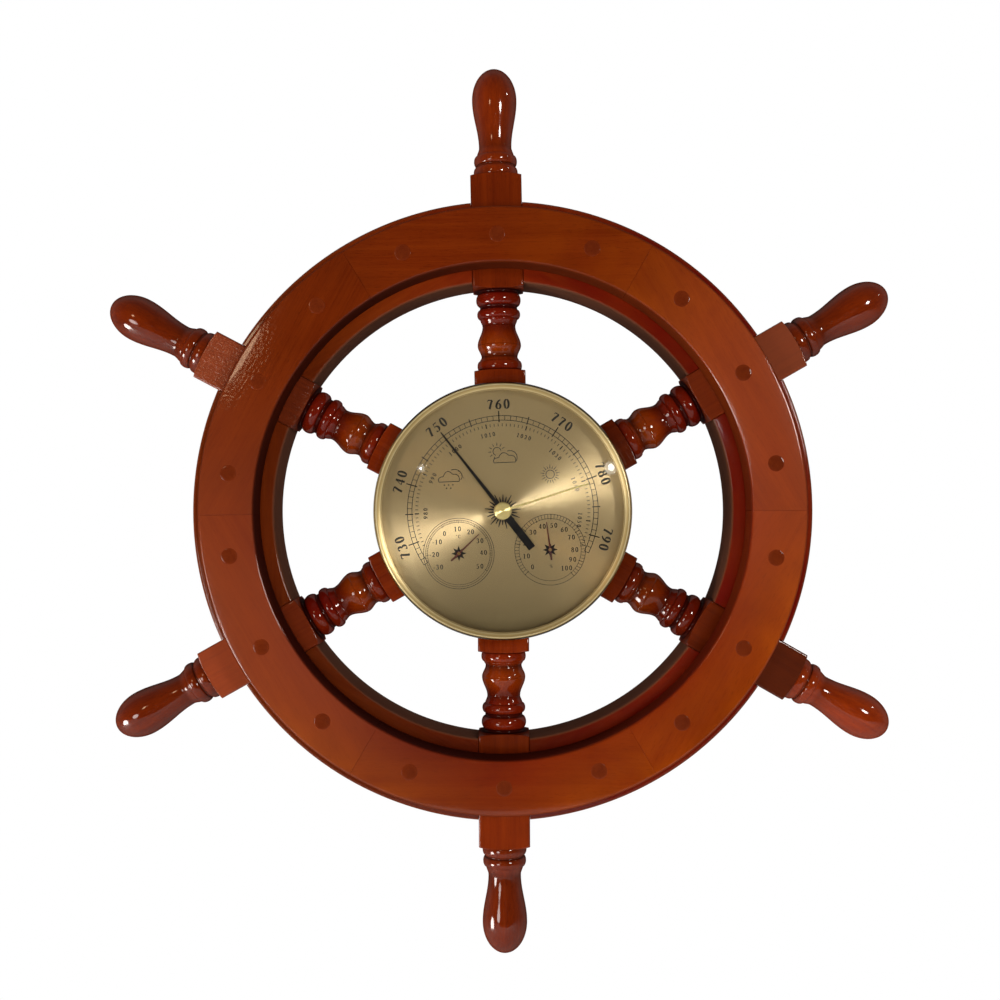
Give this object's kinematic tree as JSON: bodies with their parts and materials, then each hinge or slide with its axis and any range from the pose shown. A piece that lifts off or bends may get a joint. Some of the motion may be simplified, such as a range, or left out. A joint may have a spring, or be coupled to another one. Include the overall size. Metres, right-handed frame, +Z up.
{
  "type": "wall weather station in a ship's wheel",
  "caption": "Spoked wooden ship's wheel with turned handles; its hub holds an aneroid barometer, a thermometer and a hygrometer behind one domed-edge glass.",
  "frame": {"origin": "centre of the hub's flat back, on the wall plane", "axes": "+X to the viewer's right, +Z up, the dial faces -Y and the wall is behind at +Y"},
  "size_m": [0.4021, 0.0619, 0.4563],
  "materials": {
    "lacquered_wood": "gloss red-brown lacquer",
    "peg_wood": "gloss dark lacquer",
    "polished_brass": "polished pale gold",
    "brass": "satin",
    "gold_dial": "circular brushed pale gold with dark print",
    "clear_glass": "clear",
    "tinplate": "satin",
    "steel": "bright",
    "rubber": "matt black",
    "bimetal": "satin strip",
    "black_lacquer": "gloss black",
    "brown_lacquer": "satin red-brown"
  },
  "bodies": {
    "wheel": {"front_felloe_1": "lacquered_wood", "front_felloe_2": "lacquered_wood", "front_felloe_3": "lacquered_wood", "front_felloe_4": "lacquered_wood", "front_felloe_5": "lacquered_wood", "front_felloe_6": "lacquered_wood", "middle_felloe_1": "lacquered_wood", "middle_felloe_2": "lacquered_wood", "middle_felloe_3": "lacquered_wood", "middle_felloe_4": "lacquered_wood", "middle_felloe_5": "lacquered_wood", "middle_felloe_6": "lacquered_wood", "rear_felloe_1": "lacquered_wood", "rear_felloe_2": "lacquered_wood", "rear_felloe_3": "lacquered_wood", "rear_felloe_4": "lacquered_wood", "rear_felloe_5": "lacquered_wood", "rear_felloe_6": "lacquered_wood", "spoke_1": "lacquered_wood", "spoke_2": "lacquered_wood", "spoke_3": "lacquered_wood", "spoke_4": "lacquered_wood", "spoke_5": "lacquered_wood", "spoke_6": "lacquered_wood", "spoke_pegs": "peg_wood", "felloe_pegs": "peg_wood", "hub_body": "lacquered_wood", "hub_screws": "steel", "hanger_plate": "brass", "hanger_screws": "brass"},
    "instrument": {"case_cup": "tinplate", "grip_ring": "rubber", "bezel": "polished_brass", "glass": "clear_glass", "glass_gasket": "rubber", "glass_bush": "brass", "spacer_ring": "polished_brass", "dial_plate": "gold_dial", "back_plate": "brass", "front_plate": "brass", "pillars": "brass", "aneroid_capsule": "tinplate", "main_spring": "steel", "arbor_cock": "brass", "hairspring": "steel", "coil_brackets": "brass", "thermo_coil": "bimetal", "hygro_coil": "bimetal"},
    "sector": {"sector_gear": "brass"},
    "pointer": {"baro_arbor": "brass", "baro_hand": "black_lacquer"},
    "rocking_shaft": {"rocker": "brass"},
    "setting": {"set_knob": "polished_brass", "set_hand": "polished_brass"},
    "thermometer": {"thermo_arbor": "brass", "thermo_hand": "brown_lacquer"},
    "hygrometer": {"hygro_arbor": "brass", "hygro_hand": "brown_lacquer"},
    "adjuster": {"adjusting_screw": "brass"}
  },
  "joints": [
    {"name": "insert_slide", "type": "slide", "parent": "wheel", "child": "instrument", "axis": [0, -1, 0], "range_m": [0, 0.05]},
    {"name": "sector_turn", "type": "hinge", "parent": "instrument", "child": "sector", "pos_m": [0.01447, -0.035, -0.0228], "axis": [0, -1, 0], "range_deg": [-10.7, 19.2], "stiffness_Nm_per_rad": 0.02, "deforming": ["hairspring", "aneroid_capsule", "main_spring"]},
    {"name": "pointer_turn", "type": "hinge", "parent": "instrument", "child": "pointer", "pos_m": [0, -0.052, 0], "axis": [0, -1, 0], "range_deg": [-154, 86]},
    {"name": "rocker_turn", "type": "hinge", "parent": "instrument", "child": "rocking_shaft", "pos_m": [0.01749, -0.02705, 0.00073], "axis": [-0.0419, 0, 0.9991], "range_deg": [-10.8, 19.3]},
    {"name": "set_turn", "type": "hinge", "parent": "instrument", "child": "setting", "pos_m": [0, -0.058, 0], "axis": [0, -1, 0], "continuous": true},
    {"name": "thermometer_turn", "type": "hinge", "parent": "instrument", "child": "thermometer", "pos_m": [-0.02179, -0.051, -0.02108], "axis": [0, -1, 0], "range_deg": [-75.2, 169.8], "stiffness_Nm_per_rad": 0.0002, "deforming": ["thermo_coil"]},
    {"name": "hygrometer_turn", "type": "hinge", "parent": "instrument", "child": "hygrometer", "pos_m": [0.02347, -0.051, -0.01918], "axis": [0, -1, 0], "range_deg": [-145.8, 126.8], "stiffness_Nm_per_rad": 0.0002, "deforming": ["hygro_coil"]},
    {"name": "adjuster_turn", "type": "hinge", "parent": "instrument", "child": "adjuster", "pos_m": [-0.02398, -0.011, -0.00101], "axis": [0, -1, 0], "range_deg": [-360, 360]}
  ],
  "couplings": [
    {"joint": "pointer_turn", "follows": "sector_turn", "ratio": -8},
    {"joint": "rocker_turn", "follows": "sector_turn", "ratio": 1}
  ]
}
